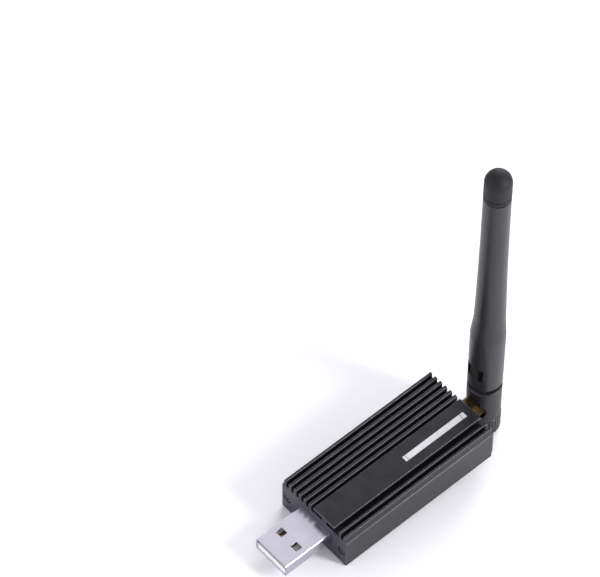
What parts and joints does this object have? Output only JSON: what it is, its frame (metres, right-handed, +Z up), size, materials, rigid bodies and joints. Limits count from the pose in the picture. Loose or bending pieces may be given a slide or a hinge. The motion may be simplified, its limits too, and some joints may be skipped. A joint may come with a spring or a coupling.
{
  "type": "usb radio stick",
  "caption": "Finned metal USB radio stick with a USB-A plug at the front and an upright tilting antenna on a swivel at the rear.",
  "frame": {"origin": "middle of the case's flat underside", "axes": "+Z up, +Y along the stick towards the antenna, the plug points along -Y, +X across the stick"},
  "size_m": [0.026, 0.0822, 0.1138],
  "materials": {
    "black_aluminium": "black anodised, satin",
    "black_plate": "black anodised, satin",
    "black_screw": "black oxide",
    "plug_metal": "nickel plated, satin",
    "white_plastic": "moulded",
    "contact_gold": "gold plated",
    "jack_gold": "gold plated",
    "ring_brass": "turned",
    "steel": "bright",
    "board": "solder mask",
    "chip": "moulded",
    "capacitor": "ceramic",
    "crystal_can": "drawn can",
    "ptfe": "turned",
    "antenna_plastic": "fine matt moulding",
    "radiator_brass": "drawn",
    "radiator_copper": "drawn"
  },
  "bodies": {
    "root": {"case_extrusion": "black_aluminium", "front_plate": "black_plate", "rear_plate": "black_plate", "front_screws": "black_screw", "rear_screws": "black_screw", "usb_shell": "plug_metal", "usb_insulator": "white_plastic", "usb_contacts": "contact_gold", "circuit_board": "board", "radio_chip": "chip", "usb_bridge_chip": "chip", "voltage_regulator": "chip", "radio_crystal": "crystal_can", "board_capacitors": "capacitor", "sma_jack": "jack_gold", "jack_insulator": "ptfe", "jack_contact": "contact_gold", "coupling_ring": "ring_brass", "coupling_clip": "steel"},
    "antenna_base": {"antenna_base": "antenna_plastic", "knurled_collar": "antenna_plastic", "feed_insulator": "ptfe", "feed_pin": "contact_gold"},
    "mast": {"mast_sleeve": "antenna_plastic", "mast_cap": "antenna_plastic", "radiator_sleeve": "radiator_brass", "radiator_wire": "radiator_copper", "hinge_pin": "steel"}
  },
  "joints": [
    {"name": "antenna_swivel", "type": "hinge", "parent": "root", "child": "antenna_base", "pos_m": [0.00065, 0.03475, 0.00653], "axis": [0, 1, 0], "range_deg": [-180, 180]},
    {"name": "mast_tilt", "type": "hinge", "parent": "antenna_base", "child": "mast", "pos_m": [0.00065, 0.03475, 0.0199], "axis": [1, 0, 0], "range_deg": [0, 90]}
  ]
}
